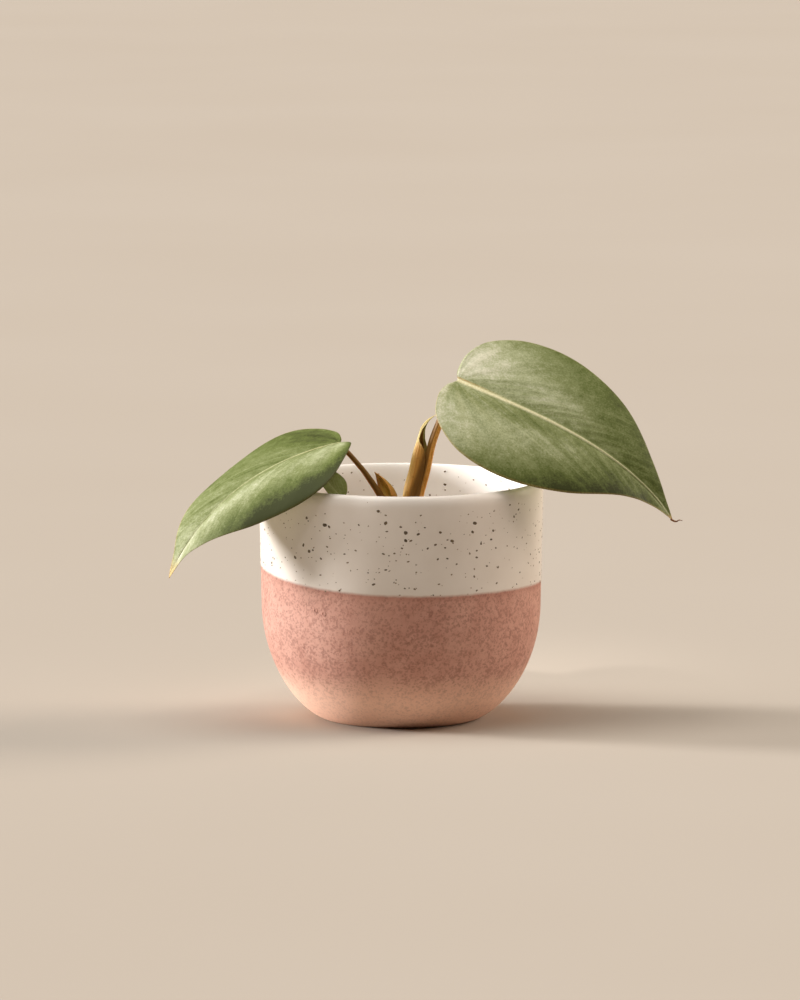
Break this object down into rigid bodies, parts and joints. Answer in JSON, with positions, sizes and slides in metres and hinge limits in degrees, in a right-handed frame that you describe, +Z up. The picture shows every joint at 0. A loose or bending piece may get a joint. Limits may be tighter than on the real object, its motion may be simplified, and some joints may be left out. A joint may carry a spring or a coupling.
{
  "type": "potted philodendron",
  "caption": "Small potted aroid house plant: heart-shaped variegated leaves on slender stalks over a creeping rhizome, in a round-bottomed speckled glazed ceramic pot.",
  "frame": {"origin": "centre of the pot's flat base, on the surface that it stands on", "axes": "+Z up along the pot's axis; +X towards the side on which the larger leaf spreads; +Y away from the viewer of the picture"},
  "size_m": [0.1941, 0.11, 0.1455],
  "materials": {
    "glaze": "satin cream glaze with dark speckle, over a matte dusty pink mottled body below",
    "leaf": "velvety matte sage green with cream variegation along curved veins and a cream midrib",
    "young_leaf": "velvety matte dark green",
    "stalk": "satin orange-brown with a dark brown stripe",
    "sheath": "dry, fibrous, pale at the rim and brown inside",
    "rhizome": "ringed with leaf scars, green-brown",
    "root": "matte pale tan",
    "mix": "loose bark, fibre and perlite"
  },
  "bodies": {
    "root": {"planter": "glaze", "potting_mix": "mix", "rhizome": "rhizome", "growth_tip": "sheath", "root_1": "root", "root_2": "root", "root_3": "root", "root_4": "root", "root_5": "root", "right_petiole": "stalk", "right_leaf": "leaf", "left_petiole": "stalk", "left_leaf": "leaf", "small_petiole": "stalk", "small_leaf": "young_leaf", "right_sheath": "sheath", "left_sheath": "sheath"}
  },
  "joints": []
}
